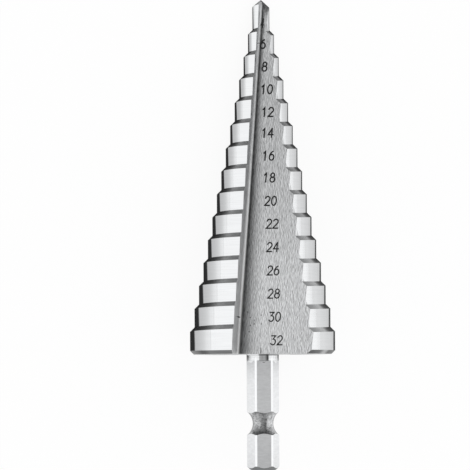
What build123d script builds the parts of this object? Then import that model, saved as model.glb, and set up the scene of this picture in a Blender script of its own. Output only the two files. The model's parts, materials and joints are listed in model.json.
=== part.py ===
import os
from math import asin, cos, degrees, radians, sin, sqrt, tan

from build123d import *

# A step drill with two straight flutes and a hexagonal bit shank, one piece of hardened steel.
# It is modelled along its own axis, with the point at the origin and the shank towards +Z,
# and laid on its side at the end. Sizes are in millimetres and degrees.

# Steps
smallest_diameter = 4.0
diameter_increase = 2.0  # from one step to the next
step_count = 15
point_angle = 118.0  # between the two lips
first_land = 5.0  # length of the smallest step
step_pitch = 5.0  # from each step to the next, along the axis
shoulder_angle = 45.0  # between a shoulder and the axis
last_land = 5.4  # length of the widest step
back_chamfer = 0.8

# Relief behind the cutting edges: each land, each shoulder and each half of the point
# is ground about an axis of its own, which lies off the drill's axis in the open flute
relief_turn = 67.6  # of that axis, from the wide face of the flute
edge_turn = 33.5  # from there on to the cutting edge
land_set_off = 0.145
shoulder_set_off = 0.6
point_tilt = 12.5

# Flutes: right-angled grooves that deepen towards the point
web_thickness = 0.59  # between the two wide faces, at the point
lip_lead = 0.01  # of the rake face, ahead of the drill's axis at the point
wide_face_slope = 6.76  # to the drill's axis
rake_face_slope = 2.78  # to the drill's axis
flute_radius = 1.3  # in the corner of the groove

# Shank
shank_length = 25.6  # from the back of the widest step
neck_length = 1.4  # round, as thick as the hexagon across its corners
neck_fillet = 0.25
across_flats = 6.35
corner_cut = 0.14  # turned off each corner of the hexagon
run_out_radius = 0.6  # where the flats rise to the neck
shank_turn = 14.6  # of a flat, from the wide face of the flute
end_chamfer = 1.1
groove_radius = 3.2  # of the hollow profile
groove_floor_diameter = 4.5
groove_to_end = 10.5  # from its middle

# Sizes that follow from these
step_radii = [smallest_diameter / 2 + diameter_increase / 2 * i for i in range(step_count)]
point_height = step_radii[0] / tan(radians(point_angle / 2))
shoulder_length = diameter_increase / 2 / tan(radians(shoulder_angle))
second_start = point_height + first_land + shoulder_length
step_starts = [point_height] + [second_start + step_pitch * i for i in range(step_count - 1)]
body_length = step_starts[-1] + last_land
overall_length = body_length + shank_length
flat_height = across_flats / 2
corner_height = flat_height / cos(radians(30)) - corner_cut
run_out_depth = corner_height - flat_height
neck_end = body_length + neck_length
clear = 2.0  # how far a cutting shape reaches past what it cuts

# Directions of the relief, across the drill's axis
relief = Vector(1, 0, 0).rotate(Axis.Z, relief_turn)
mid_land = Vector(1, 0, 0).rotate(Axis.Z, relief_turn + 90)
edge_share = cos(radians(edge_turn))


def relieved_step(radius, end, front, front_slope):
    """One step, as ground for one half: a cylinder behind a cone, each about its own axis."""
    depth = end - front.origin.Z
    cone_height = depth + clear
    with BuildPart() as step:
        with BuildSketch(Plane(relief * land_set_off + Vector(0, 0, front.origin.Z))):
            Circle(radius - land_set_off * edge_share)
        extrude(amount=depth)
        with Locations(front):
            Cone(
                0,
                cone_height / tan(radians(front_slope)),
                cone_height,
                align=(Align.CENTER, Align.CENTER, Align.MIN),
                mode=Mode.INTERSECT,
            )
    return step.part


# The point's cone is tilted about its tip, so that the lip has the point angle
# and the flank falls away behind it
lip_slope = radians(90 - point_angle / 2)
tilt = radians(point_tilt)
point_slope = degrees(asin(sin(lip_slope) * cos(tilt) + cos(lip_slope) * sin(tilt) * edge_share))
point_front = Plane((0, 0, 0), z_dir=relief * sin(tilt) + Vector(0, 0, cos(tilt)))
steps = [relieved_step(step_radii[0], second_start + clear, point_front, point_slope)]

# A shoulder's cone is set off sideways, which draws it back along the axis behind the edge
shoulder_slope = 90 - shoulder_angle
for radius, start in zip(step_radii[1:], step_starts[1:]):
    apex = start - (radius - shoulder_set_off * edge_share) * tan(radians(shoulder_slope))
    shoulder_front = Plane(relief * shoulder_set_off + Vector(0, 0, apex))
    end = min(start + step_pitch + clear, body_length)
    steps.append(relieved_step(radius, end, shoulder_front, shoulder_slope))

# One half of the stepped body, with the land of one cutting edge
with BuildPart() as half:
    add(steps)
    back_edge = half.edges().group_by(Axis.Z)[-1]
    chamfer(back_edge, back_chamfer)
    split(bisect_by=Plane((0, 0, 0), z_dir=mid_land), keep=Keep.TOP)

# The groove of one flute: its corner line slopes out from the drill's axis
flute_run = Plane(
    (lip_lead, web_thickness / 2, 0),
    x_dir=(1, 0, 0),
    z_dir=(-tan(radians(rake_face_slope)), tan(radians(wide_face_slope)), 1),
)
flute_width = step_radii[-1] * 2
with BuildPart() as flute:
    with BuildSketch(flute_run.offset(-clear)) as flute_section:
        Rectangle(flute_width, flute_width, align=(Align.MIN, Align.MIN))
        fillet(flute_section.vertices().sort_by_distance(flute_run.origin)[0], flute_radius)
    extrude(amount=body_length + clear * 3)

with BuildPart() as body:
    with PolarLocations(0, 2):
        add(half.part)
    with PolarLocations(0, 2):
        add(flute.part, mode=Mode.SUBTRACT)

# Shank: a round neck that runs out into the six flats, a hollow groove and a turned end
with BuildPart() as shank:
    with BuildSketch(Plane.XY.offset(neck_end)):
        Circle(corner_height)
        RegularPolygon(
            flat_height, 6, major_radius=False, rotation=shank_turn + 30, mode=Mode.INTERSECT
        )
    extrude(amount=shank_length - neck_length)
    run_out_end = neck_end + sqrt(run_out_radius**2 - (run_out_radius - run_out_depth) ** 2)
    with BuildSketch(Plane.XZ):
        with BuildLine():
            Polyline(
                (flat_height, run_out_end),
                (0, run_out_end),
                (0, body_length),
                (corner_height, body_length),
                (corner_height, neck_end),
            )
            RadiusArc((corner_height, neck_end), (flat_height, run_out_end), run_out_radius)
        make_face()
    revolve(axis=Axis.Z)
    with BuildSketch(Plane.XZ):
        with Locations((groove_floor_diameter / 2 + groove_radius, overall_length - groove_to_end)):
            Circle(groove_radius)
        with BuildLine():
            Polyline(
                (corner_height - end_chamfer, overall_length),
                (corner_height + clear, overall_length),
                (corner_height + clear, overall_length - end_chamfer - clear),
                close=True,
            )
        make_face()
    revolve(axis=Axis.Z, mode=Mode.SUBTRACT)

with BuildPart() as step_drill:
    add(body)
    add(shank)
    back_edges = step_drill.edges().filter_by(GeomType.CIRCLE)
    back_edges = back_edges.filter_by_position(Axis.Z, body_length, body_length)
    fillet(back_edges.sort_by(SortBy.RADIUS)[0], neck_fillet)

# At rest it lies over one flute, on three corners: the lip of the smallest step,
# and the cutting edge and the heel of the widest
last_radius = step_radii[-1]
last_start = step_starts[-1]
edge_x = lip_lead - last_start * tan(radians(rake_face_slope))
heel_y = web_thickness / 2 + last_start * tan(radians(wide_face_slope))
corners = step_drill.vertices()
lip = corners.sort_by_distance((lip_lead, step_radii[0], point_height))[0]
edge = corners.sort_by_distance((edge_x, sqrt(last_radius**2 - edge_x**2), last_start))[0]
heel = corners.sort_by_distance((sqrt(last_radius**2 - heel_y**2), heel_y, last_start))[0]
up = (Vector(heel) - Vector(lip)).cross(Vector(edge) - Vector(lip)).normalized()
pointing = Vector(0, 0, -1)
floor = Plane(Vector(lip), x_dir=pointing.cross(up), z_dir=up)
lying = floor.to_local_coords(step_drill.part)

# The frame's origin is on the floor, under the middle of the lying drill
box = lying.bounding_box()
lying = Pos(-box.center().X, -box.center().Y, -box.min.Z) * lying

lying.label = "step_drill"
os.makedirs("parts", exist_ok=True)
export_step(lying, "parts/step_drill.step")
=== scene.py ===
import json
from math import atan2, cos, degrees, hypot, radians, sin, tan

import bmesh
import bpy
from mathutils import Matrix, Vector
from mathutils.bvhtree import BVHTree


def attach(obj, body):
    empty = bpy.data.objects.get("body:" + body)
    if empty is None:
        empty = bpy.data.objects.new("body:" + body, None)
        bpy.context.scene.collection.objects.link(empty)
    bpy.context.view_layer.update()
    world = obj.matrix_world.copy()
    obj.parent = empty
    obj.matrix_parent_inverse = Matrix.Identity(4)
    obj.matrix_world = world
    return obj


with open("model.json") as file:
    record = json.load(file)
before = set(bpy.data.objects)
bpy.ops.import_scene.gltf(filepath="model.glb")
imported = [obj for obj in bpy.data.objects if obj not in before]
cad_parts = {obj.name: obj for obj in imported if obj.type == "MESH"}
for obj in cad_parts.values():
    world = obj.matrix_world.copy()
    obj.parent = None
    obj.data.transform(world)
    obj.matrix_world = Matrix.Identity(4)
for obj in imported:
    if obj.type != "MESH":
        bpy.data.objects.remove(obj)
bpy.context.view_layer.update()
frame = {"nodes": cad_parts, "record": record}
drill = frame["nodes"]["step_drill"]
mounts = {mount["name"]: mount for mount in frame["record"]["mounts"]}

# Sizes are in millimetres, along and about the drill's own axis, and turned into metres by mm
mm = 0.001
overall_length = 103.2
hex_length = mounts["hex_shank"]["dims"]["length_mm"]
neck_length = 1.4
neck_end = overall_length - hex_length
body_length = neck_end - neck_length
step_pitch = 5.0
second_start = 7.2  # where the land of the second step starts
shoulder_length = 1.0
smallest_radius = 2.0
largest_radius = 16.0
radius_increase = 1.0  # from one step to the next
rake_face_slope = 2.78  # degrees, to the axis
half_middle = 79.0  # degrees, of the middle of a half of the body, about the axis
flat_height = 3.175  # of the hexagon, from its axis to a flat
flat_step = 60.0  # degrees, from one flat of the hexagon to the next
shank_turn = 14.6  # degrees, of a flat of the hexagon from the wide face of the flute
run_out_length = 0.7  # from the neck to the flats of the hexagon
groove_to_end = 10.5  # of the shank, from the groove's middle
groove_middle = overall_length - groove_to_end
groove_half_length = 2.6
end_zone = 1.2  # of the shank, with its chamfer


def drill_frame():
    """The drill's own frame: its tip at the origin, its shank towards +Z and the wide face of
    its upper flute towards +Y."""
    along = Vector(mounts["shank_end"]["axis"]).normalized()
    tip = Vector(mounts["shank_end"]["pos_m"]) - along * overall_length * mm
    flat = Vector(mounts["shank_flat"]["axis"])
    flat = (flat - along * flat.dot(along)).normalized()
    across = Matrix.Rotation(radians(-shank_turn - flat_step), 3, along) @ flat
    turned = Matrix((across, along.cross(across), along)).transposed()
    return Matrix.Translation(tip) @ turned.to_4x4()


own = drill_frame()


def place(x, y, z):
    """A point of the drill's own frame, given in millimetres, in the scene."""
    return own @ Vector((x * mm, y * mm, z * mm))


def direction(x, y, z):
    """A direction of the drill's own frame, in the scene."""
    return (own.to_3x3() @ Vector((x, y, z))).normalized()


# Camera: square on the flute's side of the drill, a little turned about its axis
view_turn = 79.0  # degrees about the axis, from its own +X
camera_distance = 1200.0
camera_foot = 90.0  # the point of the axis that it stands over
aim_along = 51.5
aim_aside = 5.91
roll = 0.30  # degrees
pixels_to_the_mm = 4.575
focal_pixels = pixels_to_the_mm * camera_distance
image_pixels = 470
sensor_width = 36.0
sight = 100.0  # metres


def make_camera():
    towards = Vector((cos(radians(view_turn)), sin(radians(view_turn)), 0))
    right = Vector((sin(radians(view_turn)), -cos(radians(view_turn)), 0))
    stand = place(*(towards * camera_distance + Vector((0, 0, camera_foot))))
    aim = place(*(right * -aim_aside + Vector((0, 0, aim_along))))
    back = (stand - aim).normalized()
    top = direction(0, 0, -1)
    side = top.cross(back).normalized()
    turned = Matrix((side, back.cross(side), back)).transposed()
    data = bpy.data.cameras.new("camera")
    data.sensor_width = sensor_width
    data.lens = sensor_width * focal_pixels / image_pixels
    data.clip_end = sight
    camera = bpy.data.objects.new("camera", data)
    camera.matrix_world = Matrix.Translation(stand) @ turned.to_4x4()
    camera.matrix_world @= Matrix.Rotation(radians(-roll), 4, "Z")
    bpy.context.scene.collection.objects.link(camera)
    bpy.context.scene.camera = camera


make_camera()


class Nodes:
    """Short names for building a material's nodes."""

    def __init__(self, name):
        self.material = bpy.data.materials.new(name)
        self.material.use_nodes = True
        self.tree = self.material.node_tree
        self.tree.nodes.clear()

    def add(self, kind, values=(), **settings):
        """A node with its inputs set to values, or linked to the sockets given for them."""
        node = self.tree.nodes.new("ShaderNode" + kind)
        for key, value in settings.items():
            setattr(node, key, value)
        for key, value in dict(values).items():
            if isinstance(value, bpy.types.NodeSocket):
                self.tree.links.new(value, node.inputs[key])
            else:
                node.inputs[key].default_value = value
        return node

    def math(self, operation, first, second=0.0, clamp=False):
        node = self.add("Math", {0: first, 1: second}, operation=operation, use_clamp=clamp)
        return node.outputs[0]

    def own_point(self):
        """The place on the drill, in millimetres of its own frame."""
        coordinates = self.add("TexCoord")
        turned = self.add(
            "Mapping",
            {
                "Vector": coordinates.outputs["Object"],
                "Location": own.translation,
                "Rotation": own.to_euler(),
                "Scale": (mm, mm, mm),
            },
            vector_type="TEXTURE",
        )
        return turned.outputs[0]

    def parts(self, point):
        """The three coordinates of a place."""
        return self.add("SeparateXYZ", {0: point}).outputs

    def scene_parts(self):
        """The three coordinates of the place in the scene, in metres."""
        return self.parts(self.add("NewGeometry").outputs["Position"])

    def across_half(self, point):
        """Where a place lies across its half of the drill, from -1 to 1."""
        x, y, _ = self.parts(point)
        turn = radians(half_middle)
        x_right = self.math("MULTIPLY", x, sin(turn))
        y_left = self.math("MULTIPLY", y, cos(turn))
        right = self.math("SUBTRACT", x_right, y_left)
        x_front = self.math("MULTIPLY", x, cos(turn))
        y_front = self.math("MULTIPLY", y, sin(turn))
        front = self.math("ADD", x_front, y_front)
        squares = self.math("ADD", self.math("MULTIPLY", x, x), self.math("MULTIPLY", y, y))
        share = self.math("DIVIDE", right, self.math("SQRT", squares))
        return self.math("MULTIPLY", share, self.math("SIGN", front))

    def grain(self, point, scale, detail=3.0):
        """Noise from 0 to 1, of that many cycles to the millimetre along each direction."""
        stretched = self.add("Mapping", {"Vector": point, "Scale": scale}, vector_type="POINT")
        noise = self.add(
            "TexNoise",
            {
                "Vector": stretched.outputs[0],
                "Scale": 1.0,
                "Detail": detail,
                "Roughness": 0.6,
            },
        )
        return noise.outputs[0]

    def slope(self, value, first, last):
        """A level that runs straight from one stop of value and level to the last, and stays."""
        node = self.add(
            "MapRange",
            {
                "Value": value,
                "From Min": first[0],
                "From Max": last[0],
                "To Min": first[1],
                "To Max": last[1],
            },
        )
        return node.outputs[0]

    def ramp(self, value, stops):
        """A grey that runs through several stops of value and grey."""
        low, high = stops[0][0], stops[-1][0]
        node = self.add("ValToRGB", {"Fac": self.slope(value, (low, 0.0), (high, 1.0))})
        elements = node.color_ramp.elements
        while len(elements) < len(stops):
            elements.new(0.5)
        for element, (position, level) in zip(elements, stops):
            element.position = (position - low) / (high - low)
            element.color = (level, level, level, 1)
        return node.outputs[0]

    def mix(self, share, first, second):
        """A colour between two."""
        return self.add("MixRGB", {"Fac": share, "Color1": first, "Color2": second}).outputs[0]

    def times(self, first, second):
        """One colour under the shade of another."""
        values = {"Fac": 1.0, "Color1": first, "Color2": second}
        return self.add("MixRGB", values, blend_type="MULTIPLY").outputs[0]

    def end_in_metal(self, colour, roughness, grain, bump):
        """Finishes the material as metal, whose grain stands bump millimetres high."""
        relief = self.add("Bump", {"Height": grain, "Distance": bump * mm, "Strength": 1.0})
        shader = self.add(
            "BsdfPrincipled",
            {
                "Base Color": colour,
                "Metallic": 1.0,
                "Roughness": roughness,
                "Normal": relief.outputs[0],
            },
        )
        return self.end_in(shader)

    def end_in(self, shader):
        self.add("OutputMaterial", {"Surface": shader.outputs[0]})
        return self.material


white = (1, 1, 1, 1)
coolness = 0.012


def grey(value):
    """A grey that is a little cool."""
    return (value * (1 - coolness), value, value * (1 + coolness), 1)


# Noise seldom leaves its middle, so a grain reaches its ends at these values of it
darkest = 0.3
lightest = 0.7
smoothest = 0.2
roughest = 0.8


def steel(name, greys, roughness, scale, bump, shade=None):
    """Steel whose grain runs between two greys and two roughnesses, under a painted shade of its
    own.
    """
    nodes = Nodes(name)
    point = nodes.own_point()
    grain = nodes.grain(point, scale)
    share = nodes.slope(grain, (darkest, 0.0), (lightest, 1.0))
    colour = nodes.mix(share, grey(greys[0]), grey(greys[1]))
    if shade:
        colour = nodes.times(colour, shade(nodes, point))
    rough = nodes.slope(grain, (smoothest, roughness[0]), (roughest, roughness[1]))
    return nodes.end_in_metal(colour, rough, grain, bump)


# The flute's streaks: grain scales in cycles to the millimetre, and the distance to each side
# at which the same grain is taken off again, to sharpen the streaks
streak_scale = (7.5, 7.5, 0.36)
streak_beside = 0.22
beside_share = 0.16
streak_share = 1.32
blotch_scale = (1.6, 1.6, 0.3)
blotch_share = 0.1
flute_detail = 2.0
flute_greys = (0.45, 1.0)
flute_roughness = (0.26, 0.36)
flute_bump = 0.002
# A painted shade darkens the flute towards the tip
flute_brighter = [(0, 0.76), (25, 0.78), (45, 0.86), (52, 0.91), (60, 1.0), (77, 1.0)]  # along it

# Past the corner of a flute a band of painted shade darkens the face, where the rake face hides its
# light, and widens with the drill.
# It starts somewhat past the corner: the first two pairs are a place along the axis and that
# distance. Its stops are the distance from its start and the share of the colour
band_first_start = (45.0, 0.67)
band_last_start = (66.0, 0.5)
band_fade = 0.33  # over which the face before the band darkens
band_foot = -6.0  # along the axis, where the band would have no width
band_full = body_length - 2.0  # where it has the width given here
band_painted_shade = [
    (0.0, 0.16),
    (0.35, 0.18),
    (0.65, 0.27),
    (1.05, 0.40),
    (1.7, 0.52),
    (2.3, 0.68),
    (3.2, 0.82),
    (4.7, 1.0),
]

# The corner itself is rougher, and a painted highlight runs along it as a thin white line, more so
# towards the shank
corner_highlight = [(-0.08, 0.0), (0.06, 0.9), (0.35, 0.9), (0.6, 0.0)]  # distance past it, strength
highlight_start = (15.0, 0.0)  # place along the axis, strength
highlight_full = (60.0, 1.0)
corner_rougher = (0.1, 0.22)  # distance past it, roughness that is added
corner_as_rest = (0.5, 0.0)

# The flute is darker behind the lip too, up to a slanting and speckled edge
point_slant = 0.78
point_speckle = 2.6
point_unevenness = 0.5
point_darker = [
    (0.0, 0.12),
    (0.45, 0.2),
    (0.9, 0.33),
    (1.5, 0.36),
    (1.9, 0.5),
    (2.3, 0.78),
    (3.0, 1.0),
]


def flute_grain(nodes, point):
    """Sharp streaks along the flute, over faint blotches."""
    fine = nodes.grain(point, streak_scale, flute_detail)
    for aside in (-streak_beside, streak_beside):
        beside = nodes.add("VectorMath", {0: point, 1: (aside, 0, 0)}, operation="ADD").outputs[0]
        beside = nodes.grain(beside, streak_scale, flute_detail)
        fine = nodes.math("SUBTRACT", fine, nodes.math("MULTIPLY", beside, beside_share))
    fine = nodes.math("MULTIPLY", fine, streak_share)
    blotches = nodes.grain(point, blotch_scale, flute_detail)
    return nodes.math("ADD", fine, nodes.math("MULTIPLY", blotches, blotch_share))


def flute_shade(nodes, point, along, from_axis, from_corner):
    """Painted shade past the corner, darker behind the lip, and full colour on the face before the
    corner.
    """
    band_start = nodes.slope(along, band_first_start, band_last_start)
    past_start = nodes.math("SUBTRACT", from_corner, band_start)
    widening = nodes.math("SUBTRACT", along, band_foot)
    widening = nodes.math("DIVIDE", widening, band_full - band_foot)
    band = nodes.ramp(nodes.math("DIVIDE", past_start, widening), band_painted_shade)
    slanting = nodes.math("SUBTRACT", along, nodes.math("MULTIPLY", from_axis, point_slant))
    speckle = nodes.grain(point, (point_speckle, point_speckle, point_speckle))
    uneven = nodes.slope(speckle, (darkest, -point_unevenness), (lightest, point_unevenness))
    behind_lip = nodes.ramp(nodes.math("ADD", slanting, uneven), point_darker)
    bright = nodes.slope(past_start, (-band_fade, 1.0), (0.0, 0.0))
    return nodes.math("MAXIMUM", bright, nodes.math("MINIMUM", band, behind_lip))


def flute_steel():
    """Brushed steel with fine streaks along the flute, under a painted shade that leaves it
    brighter towards the shank.
    """
    nodes = Nodes("brushed_flute")
    point = nodes.own_point()
    x, y, along = nodes.parts(point)
    from_axis = nodes.math("MULTIPLY", x, nodes.math("SIGN", y))
    drift = nodes.math("MULTIPLY", along, tan(radians(rake_face_slope)))
    from_corner = nodes.math("ADD", from_axis, drift)
    grain = flute_grain(nodes, point)
    share = nodes.slope(grain, (darkest, 0.0), (lightest, 1.0))
    streaked = nodes.mix(share, grey(flute_greys[0]), grey(flute_greys[1]))
    # A painted highlight along the corner, mixed towards white
    line = nodes.ramp(from_corner, corner_highlight)
    line = nodes.math("MULTIPLY", line, nodes.slope(along, highlight_start, highlight_full))
    bright = nodes.mix(line, streaked, white)
    bright = nodes.times(bright, nodes.ramp(along, flute_brighter))
    colour = nodes.times(bright, flute_shade(nodes, point, along, from_axis, from_corner))
    rough = nodes.slope(grain, (smoothest, flute_roughness[0]), (roughest, flute_roughness[1]))
    rough = nodes.math("ADD", rough, nodes.slope(from_corner, corner_rougher, corner_as_rest))
    return nodes.end_in_metal(colour, rough, grain, flute_bump)


# Painted shades of the other surfaces: each is given by stops, of a place along the axis or across
# a half of the drill, and the share of its grey that the steel keeps there
def land_shade(nodes, point):
    """The first land is darker behind the lip too, and a painted shade leaves all lands a little
    darker towards the tip.
    """
    along = nodes.parts(point)["Z"]
    behind_lip = nodes.slope(along, (2.4, 0.35), (2.8, 1.0))
    away_from_lip = nodes.slope(nodes.across_half(point), (0.2, 1.0), (0.3, 0.0))
    darker_near_lip = nodes.math("MAXIMUM", behind_lip, away_from_lip)
    return nodes.times(darker_near_lip, nodes.ramp(along, [(0, 0.96), (45, 0.96), (77, 0.98)]))


def shoulder_shade(nodes, point):
    """Painted reflection: shoulders gleam with a painted highlight in a band on each side, are
    darkened by painted shade elsewhere, and more so on the right of the small steps.
    """
    stops = [(-1.0, 0.19), (-0.86, 0.13), (-0.8, 0.14), (-0.73, 0.25), (-0.66, 0.43)]
    stops += [(-0.6, 0.39), (-0.54, 0.31), (-0.45, 0.25), (-0.3, 0.22), (0.5, 0.3), (0.7, 0.4)]
    stops += [(0.77, 0.52), (0.83, 0.7), (0.87, 0.78), (0.9, 0.4), (0.92, 0.17), (0.94, 0.09)]
    stops += [(1.0, 0.08)]
    across = nodes.across_half(point)
    small_step = nodes.slope(nodes.parts(point)["Z"], (30.0, 0.55), (65.0, 1.0))
    on_left = nodes.slope(across, (0.1, 1.0), (0.3, 0.0))
    return nodes.times(nodes.ramp(across, stops), nodes.math("MAXIMUM", small_step, on_left))


# Painted shade across a chamfer: dark, with a lighter painted gleam in a narrow band on its right
def chamfer_shade(nodes, point):
    stops = [(-1.0, 0.2), (-0.92, 0.19), (-0.84, 0.08), (-0.78, 0.15), (-0.73, 0.26)]
    stops += [(-0.6, 0.235), (-0.4, 0.22), (0.5, 0.13), (0.7, 0.155), (0.76, 0.185)]
    stops += [(0.81, 0.23), (0.86, 0.6), (0.89, 0.55), (0.92, 0.15), (1.0, 0.1)]
    return nodes.ramp(nodes.across_half(point), stops)


def neck_shade(nodes, point):
    """Painted shade: a painted shadow at the neck's root on its right, a darker middle and dark
    edges, and a run-out darker in its middle.
    """
    along = nodes.parts(point)["Z"]
    across = nodes.across_half(point)
    run_out = nodes.ramp(nodes.math("ABSOLUTE", across), [(0.0, 0.45), (0.36, 0.45), (0.5, 1.0)])
    on_neck = nodes.slope(along, (neck_end - 0.05, 1.0), (neck_end + 0.05, 0.0))
    run_out = nodes.math("MAXIMUM", run_out, on_neck)
    root = nodes.slope(along, (body_length + 0.2, 0.35), (body_length + 0.4, 1.0))
    root = nodes.math("MAXIMUM", root, nodes.slope(across, (-0.3, 0.9), (-0.1, 0.0)))
    stops = [(-1.0, 0.15), (-0.97, 0.2), (-0.91, 1.0), (-0.24, 1.0), (-0.19, 0.66), (0.15, 0.74)]
    stops += [(0.26, 0.6), (0.31, 0.4), (0.36, 0.8), (0.4, 1.0), (0.9, 1.0), (1.0, 0.5)]
    past_neck = nodes.slope(along, (neck_end, 0.0), (neck_end + 0.1, 1.0))
    middle = nodes.math("MAXIMUM", nodes.ramp(across, stops), past_neck)
    return nodes.math("MULTIPLY", nodes.math("MULTIPLY", run_out, root), middle)


# Painted shade: the point's right flank is darker than its left
def point_shade(nodes, point):
    return nodes.ramp(nodes.across_half(point), [(-1.0, 1.0), (-0.3, 1.0), (0.1, 0.2), (1.0, 0.16)])


# Painted shade along the hexagon's flats: a little darker by the neck and towards the end
def flat_shade(nodes, point):
    stops = [(79.6, 0.93), (81, 0.95), (83.5, 0.99), (88.5, 1.0), (95.5, 0.98), (102, 0.9)]
    return nodes.ramp(nodes.parts(point)["Z"], stops)


def groove_shade(nodes, point):
    """Painted shade, darker towards the shank's end and across the middle, with a painted highlight
    in a speckled spot on its right.
    """
    across = nodes.across_half(point)
    stops = [(90.1, 0.45), (90.5, 0.48), (90.9, 0.6), (92.0, 0.85), (92.7, 1.0), (93.3, 0.75)]
    stops += [(94.0, 0.4), (94.8, 0.25)]
    depth = nodes.ramp(nodes.parts(point)["Z"], stops)
    sideways = nodes.ramp(nodes.math("ABSOLUTE", across), [(0.15, 0.0), (0.5, 0.35), (0.9, 1.0)])
    depth = nodes.math("MAXIMUM", depth, sideways)
    spot = (1.72, 1.52, 92.2)
    away = nodes.add("VectorMath", {0: point, 1: spot}, operation="DISTANCE").outputs["Value"]
    uneven = nodes.slope(nodes.grain(point, (2.5, 2.5, 2.5)), (darkest, -0.35), (lightest, 0.35))
    spot_highlight = nodes.ramp(nodes.math("ADD", away, uneven), [(0.2, 1.0), (0.9, 0.5)])
    stops = [(-1.0, 0.25), (-0.93, 0.4), (-0.86, 0.85), (-0.35, 0.85), (-0.15, 0.62)]
    stops += [(0.22, 0.55), (0.4, 1.0), (0.9, 1.0), (1.0, 0.4)]
    return nodes.times(depth, nodes.math("MAXIMUM", spot_highlight, nodes.ramp(across, stops)))


# Grain scales, in cycles to the millimetre
streaks = (4.5, 4.5, 0.7)  # along the flute
rings = (0.12, 0.12, 3.5)  # round the axis
milled = (0.8, 0.8, 2.4)
coarse = (1.9, 1.9, 2.4)

# Each steel has its greys, roughnesses, grain, height of the grain in millimetres, and painted
# shade
materials = {
    "land": steel("ground_land", (0.90, 0.96), (0.05, 0.08), rings, 0.0, land_shade),
    "shoulder": steel("turned_shoulder", (0.7, 0.9), (0.3, 0.42), rings, 0.001, shoulder_shade),
    "flute": flute_steel(),
    "chamfer": steel("turned_chamfer", (0.7, 0.9), (0.3, 0.42), rings, 0.001, chamfer_shade),
    # the shank's end is painted dark, a painted shade
    "end": steel("turned_end", (0.17, 0.25), (0.3, 0.4), rings, 0.001),
    "corner": steel("hexagon_corner", (0.97, 1.0), (0.06, 0.1), rings, 0.0),
    "back": steel("ground_back", (0.50, 0.62), (0.3, 0.4), rings, 0.001),
    "neck": steel("turned_neck", (0.82, 0.94), (0.1, 0.16), rings, 0.001, neck_shade),
    "flat": steel("ground_flat", (0.88, 1.0), (0.28, 0.36), milled, 0.001, flat_shade),
    "groove": steel("turned_groove", (0.38, 1.0), (0.24, 0.36), coarse, 0.004, groove_shade),
    "point": steel("ground_point", (0.55, 1.0), (0.25, 0.35), streaks, 0.001, point_shade),
}

# Which surface a face belongs to
edge_slack = 0.01  # that a face's middle may lie before the end of the part it is on
flat_slack = 0.02  # of a face that may still be on a flat, in height and in slope
flat_turn_slack = 2.0  # degrees
steep = 0.3  # slope along the axis of a shoulder, a chamfer or the point
nearly_square = 0.9  # slope along the axis of the body's back
land_slope = 0.1  # most along the axis
land_outward = 0.6  # least away from the axis
point_reach = 1.5  # the point ends by so much before the second land
on_axis = 1e-6


def shank_surface(radius, along, normal):
    near_groove = abs(along - groove_middle) < groove_half_length
    if near_groove and (radius < flat_height - flat_slack or abs(normal.z) > flat_slack):
        return "groove"
    if along > overall_length - end_zone and normal.z > steep:
        return "end"
    if along < neck_end + run_out_length and abs(normal.z) > flat_slack:
        return "neck"
    turn = (degrees(atan2(normal.y, normal.x)) - shank_turn) % flat_step
    return "flat" if min(turn, flat_step - turn) < flat_turn_slack else "corner"


def body_surface(radius, along, normal, outward):
    step_radius = smallest_radius
    first_shoulder = second_start - shoulder_length
    if along > first_shoulder:
        steps_on = 1 + int((along - first_shoulder) / step_pitch)
        step_radius = min(smallest_radius + radius_increase * steps_on, largest_radius)
    on_rim = radius > step_radius - radius_increase
    if on_rim and outward > land_outward and abs(normal.z) < land_slope:
        return "land"
    if normal.z < -steep:
        return "shoulder" if along > second_start - point_reach else "point"
    return "chamfer" if normal.z > steep else "flute"


def surface_of(centre, normal):
    """Names the ground surface that a face of the drill belongs to, from its place and normal."""
    x, y, along = centre
    radius = hypot(x, y)
    if along > neck_end - edge_slack:
        return shank_surface(radius, along, normal)
    if along > body_length - edge_slack:
        return "back" if normal.z > nearly_square else "neck"
    outward = (x * normal.x + y * normal.y) / max(radius, on_axis)
    return body_surface(radius, along, normal, outward)


def dress_drill():
    inverse = own.inverted()
    turn_back = inverse.to_3x3()
    names = list(materials)
    drill.data.materials.clear()
    for name in names:
        drill.data.materials.append(materials[name])
    for face in drill.data.polygons:
        centre = inverse @ face.center / mm
        face.material_index = names.index(surface_of(centre, turn_back @ face.normal))


dress_drill()


# Numbers: the diameter of each step in millimetres, marked with a laser beside it.
# A stroke is given in the box of its digit, from -0.5 to 0.5 each way, with its top up
smallest_number = 4
number_increase = 2
digit_width = 1.09
digit_height = 1.96
digit_pitch = 1.45
digit_slant = 0.08
stroke_widths = (0.35, 0.27)  # at the drill's tip and at the end of its body
first_digit_share = 0.5  # of the digit's width, where the 4 runs into the flute's corner
first_stroke_share = 0.7
stroke_step = 0.2  # longest piece of a stroke
stroke_ends = 0.7  # of half the width, that an open stroke reaches past its ends
sharpest_mitre = 0.5
same_point = 1e-6
arc_step = 22.5  # degrees, longest piece of an arc
arc_pieces = 4  # at least
mark_proud = 0.012
mark_sunk = 0.03
stroke_lift = 0.002  # of a digit's second stroke over its first
mark_grain = (4.0, 4.0, 4.0)
mark_roughness = (0.5, 0.7)
mark_ior = 1.3
oxide_greys = (0.004, 0.026)
mark_places = [  # of each number, across the wide face and along the axis
    (0.57, 5.2),
    (0.73, 9.8),
    (1.19, 14.8),
    (1.75, 19.8),
    (2.04, 24.8),
    (2.10, 29.4),
    (2.37, 34.4),
    (2.63, 39.2),
    (3.05, 44.3),
    (3.50, 49.3),
    (3.69, 54.4),
    (3.90, 59.5),
    (4.10, 64.55),
    (4.39, 69.6),
    (4.86, 74.7),
]


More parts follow.
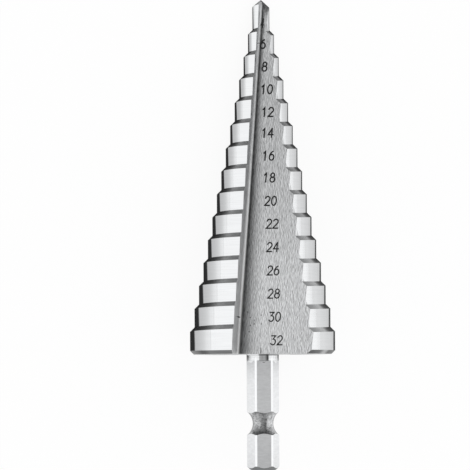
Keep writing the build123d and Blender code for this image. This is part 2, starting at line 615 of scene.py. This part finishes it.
def arc(x, y, half_width, half_height, start, end):
    """Points of an ellipse from one angle to another, in degrees."""
    count = max(arc_pieces, round(abs(end - start) / arc_step))
    turns = [radians(start + (end - start) * i / count) for i in range(count + 1)]
    return [(x + half_width * cos(turn), y + half_height * sin(turn)) for turn in turns]


digits = {
    "0": [arc(0, 0, 0.48, 0.5, 0, 360)],
    "1": [[(-0.32, 0.28), (0.02, 0.5), (0.02, -0.5)]],
    "2": [arc(0, 0.22, 0.46, 0.28, 165, -35) + [(-0.5, -0.5), (0.5, -0.5)]],
    "3": [[(-0.42, 0.5), (0.40, 0.5), (-0.06, 0.13)] + arc(-0.04, -0.18, 0.50, 0.32, 78, -150)],
    "4": [[(0.20, 0.5), (-0.5, -0.2), (0.5, -0.2)], [(0.20, 0.5), (0.20, -0.5)]],
    "6": [arc(0, -0.18, 0.46, 0.32, 0, 360), arc(0.46, -0.18, 0.92, 0.68, 180, 105)],
    "8": [arc(0, 0.26, 0.38, 0.24, 0, 360), arc(0, -0.22, 0.47, 0.28, 0, 360)],
}


def divided(points):
    """The same line in pieces of about stroke_step."""
    line = [points[0]]
    for (x0, y0), (x1, y1) in zip(points, points[1:]):
        count = max(1, round(hypot(x1 - x0, y1 - y0) / stroke_step))
        for i in range(1, count + 1):
            line.append((x0 + (x1 - x0) * i / count, y0 + (y1 - y0) * i / count))
    return line


def ribbon_sides(points, half_width):
    """The two edges of a ribbon along a line, with mitred corners and square ends."""
    closed = hypot(points[0][0] - points[-1][0], points[0][1] - points[-1][1]) < same_point
    if closed:
        points = points[:-1]
    count = len(points)
    left, right = [], []
    for i, (x, y) in enumerate(points):
        before = Vector(points[i - 1]) if i or closed else None
        after = Vector(points[(i + 1) % count]) if i < count - 1 or closed else None
        here = Vector((x, y))
        arriving = (here - before).normalized() if before else (after - here).normalized()
        leaving = (after - here).normalized() if after else arriving
        along = (arriving + leaving).normalized()
        reach = half_width / max(along.dot(leaving), sharpest_mitre)
        across = Vector((-along.y, along.x)) * reach
        if not before:
            here = here - leaving * half_width * stroke_ends
        if not after:
            here = here + arriving * half_width * stroke_ends
        left.append(here + across)
        right.append(here - across)
    return left, right, closed


drill_tree = BVHTree.FromPolygons(
    [vertex.co for vertex in drill.data.vertices], [face.vertices for face in drill.data.polygons]
)
above_flute = 20.0  # higher than any of the drill, over its axis


def on_flute(x, along, lift):
    """The point of the upper flute that lies under a place, raised by lift."""
    start = place(x, above_flute, along)
    hit = drill_tree.ray_cast(start, direction(0, -1, 0))[0]
    return hit + direction(0, 1, 0) * lift * mm


def add_ribbon(mesh, points, width, proud):
    """A thin closed strip on the flute, along points across the face and along the axis."""
    left, right, closed = ribbon_sides(divided(points), width / 2)
    sections = []
    for one, two in zip(left, right):
        section = [on_flute(one.x, one.y, proud), on_flute(two.x, two.y, proud)]
        section += [on_flute(two.x, two.y, -mark_sunk), on_flute(one.x, one.y, -mark_sunk)]
        sections.append([mesh.verts.new(corner) for corner in section])
    pairs = list(zip(sections, sections[1:]))
    if closed:
        pairs.append((sections[-1], sections[0]))
    for here, there in pairs:
        for i in range(4):
            mesh.faces.new((here[i], here[(i + 1) % 4], there[(i + 1) % 4], there[i]))
    if not closed:
        mesh.faces.new(reversed(sections[0]))
        mesh.faces.new(sections[-1])


def new_piece(name, mesh, material):
    bmesh.ops.recalc_face_normals(mesh, faces=mesh.faces)
    data = bpy.data.meshes.new(name)
    mesh.to_mesh(data)
    mesh.free()
    data.materials.append(material)
    piece = bpy.data.objects.new(name, data)
    bpy.context.scene.collection.objects.link(piece)
    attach(piece, "root")


def mark_steel(name, greys, metallic):
    """Rough dark steel: the oxide of a marking laser, or the bottom of a scratch."""
    nodes = Nodes(name)
    grain = nodes.grain(nodes.own_point(), mark_grain)
    rough = nodes.slope(grain, (smoothest, mark_roughness[0]), (roughest, mark_roughness[1]))
    values = {
        "Base Color": nodes.mix(grain, grey(greys[0]), grey(greys[1])),
        "Metallic": metallic,
        "IOR": mark_ior,
        "Roughness": rough,
    }
    return nodes.end_in(nodes.add("BsdfPrincipled", values))


def add_number(mesh, text, x, along):
    at_tip, at_end = stroke_widths
    width = digit_width
    stroke = at_tip + (at_end - at_tip) * along / body_length
    if along < second_start:
        width *= first_digit_share
        stroke *= first_stroke_share
    for i, digit in enumerate(text):
        middle = x + (i - (len(text) - 1) / 2) * digit_pitch
        for k, line in enumerate(digits[digit]):
            points = []
            for u, v in line:
                aside = u * width + v * digit_height * digit_slant
                points.append((middle + aside, along - v * digit_height))
            add_ribbon(mesh, points, stroke, mark_proud + stroke_lift * k)


def make_numbers():
    mesh = bmesh.new()
    for i, (x, along) in enumerate(mark_places):
        add_number(mesh, str(smallest_number + number_increase * i), x, along)
    new_piece("step_numbers", mesh, mark_steel("laser_mark", oxide_greys, 0.0))


make_numbers()


# Wear in the flute, each mark given across the face and along the axis
wear_proud = 0.006
scratch_greys = (0.02, 0.1)
scratch_metallic = 0.9
pit_width = 0.2
pit_length = 0.1
pit_lean = 0.01
pits = [
    (-1.04, 69.7),
    (-0.17, 70.3),
    (-0.13, 71.1),
    (-0.97, 71.4),
    (1.41, 71.1),
    (-1.25, 72.8),
    (-1.68, 68.5),
    (1.38, 69.2),
    (-3.28, 69.6),
]
scratches = [  # start, end and width
    ((1.43, 76.3), (1.46, 77.5), 0.17),
    ((-0.35, 9.65), (0.1, 9.6), 0.13),
]


def make_wear():
    mesh = bmesh.new()
    for x, along in pits:
        start = (x, along - pit_length / 2)
        end = (x + pit_lean, along + pit_length / 2)
        add_ribbon(mesh, [start, end], pit_width, wear_proud)
    for start, end, width in scratches:
        add_ribbon(mesh, [start, end], width, wear_proud)
    material = mark_steel("scratched_steel", scratch_greys, scratch_metallic)
    new_piece("wear_marks", mesh, material)


make_wear()


# The studio. Its sizes and places are in metres
def flat_quad(name, corners, material):
    """A four-cornered sheet that belongs to the studio and not to the drill."""
    mesh = bpy.data.meshes.new(name)
    mesh.from_pydata(corners, [], [(0, 1, 2, 3)])
    mesh.materials.append(material)
    sheet = bpy.data.objects.new(name, mesh)
    bpy.context.scene.collection.objects.link(sheet)
    return sheet


def level_corners(left, right, near, far, height):
    """The corners of a level sheet, seen from the shank's side."""
    return [(left, near, height), (right, near, height), (right, far, height), (left, far, height)]


def only_reflected(sheet):
    """Leaves a studio card to the reflections, so that it neither shows nor throws a shadow."""
    sheet.visible_camera = False
    sheet.visible_diffuse = False
    sheet.visible_transmission = False
    sheet.visible_volume_scatter = False
    sheet.visible_shadow = False


floor_reach = 3.0
floor_grey = (0.94, 0.94, 0.94, 1)
floor_glow = 0.9  # how far a seen or mirrored floor is lifted to white


def make_floor():
    nodes = Nodes("pale_floor")
    light_path = nodes.add("LightPath").outputs
    seen = nodes.math("ADD", light_path["Is Camera Ray"], light_path["Is Glossy Ray"])
    seen = nodes.math("ADD", seen, light_path["Is Transmission Ray"], clamp=True)
    diffuse = nodes.add("BsdfDiffuse", {"Color": floor_grey})
    glow = nodes.add("Emission", {"Color": white, "Strength": 1.0})
    share = nodes.math("MULTIPLY", seen, floor_glow)
    mixed = nodes.add("MixShader", {0: share, 1: diffuse.outputs[0], 2: glow.outputs[0]})
    corners = level_corners(-floor_reach, floor_reach, -floor_reach, floor_reach, 0)
    flat_quad("floor", corners, nodes.end_in(mixed))


make_floor()


def make_world():
    world = bpy.data.worlds.new("studio")
    bpy.context.scene.world = world
    world.use_nodes = True
    background = world.node_tree.nodes["Background"]
    background.inputs["Color"].default_value = white
    background.inputs["Strength"].default_value = 1.0


make_world()


# Seen from the drill, a direction of the sky is given by its angle about the drill's axis from
# the camera, to the right. The card over the drill is grey, and nearly black on its right
card_height = 0.6
card_near = -0.45
card_far = 0.65
card_stops = [  # angle, grey
    (-28, 1.0),
    (-24, 0.62),
    (-12, 0.62),
    (-4, 0.46),
    (4, 0.54),
    (14, 0.54),
    (23, 0.36),
    (34, 0.08),
    (39, 0.10),
    (47, 1.0),
]
camera_lean = 11.3  # degrees, of the camera to the left of the upright over the axis


def overhead_side(angle):
    """How far to the side the overhead card is met, at an angle from the camera."""
    return card_height * tan(radians(angle - camera_lean))


def make_overhead_card():
    nodes = Nodes("overhead_grey")
    stops = [(overhead_side(angle), level) for angle, level in card_stops]
    left, right = stops[0][0], stops[-1][0]
    shades = nodes.ramp(nodes.scene_parts()["X"], stops)
    glow = nodes.add("Emission", {"Color": shades, "Strength": 1.0})
    corners = level_corners(left, right, card_near, card_far, card_height)
    only_reflected(flat_quad("overhead_card", corners, nodes.end_in(glow)))


make_overhead_card()

side_place = 0.9
side_near = -0.5
side_far = 0.7
side_top = 0.24
side_stops = [(0.0, 0.86), (0.04, 0.91), (0.10, 0.97), (0.2, 1.0)]  # height, grey


def make_side_card():
    """A sheet far to the right, that dims the sky just over the horizon."""
    nodes = Nodes("side_grey")
    shades = nodes.ramp(nodes.scene_parts()["Z"], side_stops)
    glow = nodes.add("Emission", {"Color": shades, "Strength": 1.0})
    corners = [(side_place, side_near, 0), (side_place, side_far, 0)]
    corners += [(side_place, side_far, side_top), (side_place, side_near, side_top)]
    only_reflected(flat_quad("side_card", corners, nodes.end_in(glow)))


make_side_card()

# The floor that the drill mirrors gets a painted shade of the drill, on a dark sheet that only
# reflections see. Stops give the distance from the line under the axis, in millimetres at the
# drill's wide end, and the shade. The near shade shrinks with the axis's height over the floor,
# and the far one with a power of it
near_left = [(0, 0.97), (24.8, 0.97), (28.4, 0.0)]
near_right = [(0, 0.92), (28.4, 0.92), (33.4, 0.0)]
far_power = 0.76
far_left = [
    (0, 0.43),
    (27.6, 0.43),
    (40, 0.35),
    (54, 0.25),
    (66, 0.16),
    (90, 0.10),
    (112, 0.09),
    (117, 0.17),
    (123, 0.17),
    (127, 0.0),
]
far_right = [
    (0, 0.34),
    (35, 0.34),
    (45, 0.28),
    (64, 0.26),
    (113, 0.21),
    (600, 0.19),
]
floor_card_side = 0.6
floor_card_end = 0.5
floor_card_lift = 0.00002

# Left of the smallest step the near shade is wider and the far one paler. All shades fade past
# the tip and beside the shank. Stops give the distance beyond the tip, or beyond the neck's end
# towards the tip, in millimetres, and the factor
first_land_edge = (-6.8, -5.8)
first_land_wider = 0.9
first_land_paler = 0.5
tip_fade = [(-0.2, 1.0), (1.0, 0.6)]
shank_fade = [(-3.2, 0.12), (-1.4, 0.7), (-0.6, 1.0)]


def beyond(distances, along):
    """Scene coordinates of stops that are given beyond a place on the axis."""
    start = place(0, 0, along).y
    return [(start + distance * mm, level) for distance, level in distances]


def make_floor_card():
    nodes = Nodes("floor_shade")
    x, y, _ = nodes.scene_parts()
    wide_end = place(0, 0, body_length)
    tip = place(0, 0, 0)
    height = nodes.slope(y, (tip.y, tip.z / wide_end.z), (wide_end.y, 1.0))
    aside = nodes.math("DIVIDE", x, mm)
    near = nodes.math("DIVIDE", aside, height)
    far = nodes.math("DIVIDE", aside, nodes.math("POWER", height, far_power))
    before, after = first_land_edge
    wider = beyond([(before, -1.0), (after, -first_land_wider)], 0)
    paler = beyond([(before, 1.0), (after, first_land_paler)], 0)
    to_left = nodes.ramp(nodes.math("MULTIPLY", far, -1.0), far_left)
    to_left = nodes.math("MULTIPLY", to_left, nodes.slope(y, *paler))
    edge_on_left = nodes.ramp(nodes.math("MULTIPLY", near, nodes.slope(y, *wider)), near_left)
    to_left = nodes.math("MAXIMUM", edge_on_left, to_left)
    to_right = nodes.math("MAXIMUM", nodes.ramp(near, near_right), nodes.ramp(far, far_right))
    shade = nodes.mix(nodes.math("LESS_THAN", aside, 0.0), to_right, to_left)
    shade = nodes.times(shade, nodes.ramp(y, beyond(tip_fade, 0)))
    shade = nodes.times(shade, nodes.ramp(y, beyond(shank_fade, neck_end)))
    clear = nodes.add("BsdfTransparent")
    black = nodes.add("Emission", {"Color": (0, 0, 0, 1), "Strength": 0.0})
    mixed = nodes.add("MixShader", {0: shade, 1: clear.outputs[0], 2: black.outputs[0]})
    side, end = floor_card_side, floor_card_end
    corners = level_corners(-side, side, -end, end, floor_card_lift)
    only_reflected(flat_quad("floor_card", corners, nodes.end_in(mixed)))


make_floor_card()

bpy.context.scene.view_settings.view_transform = "Standard"
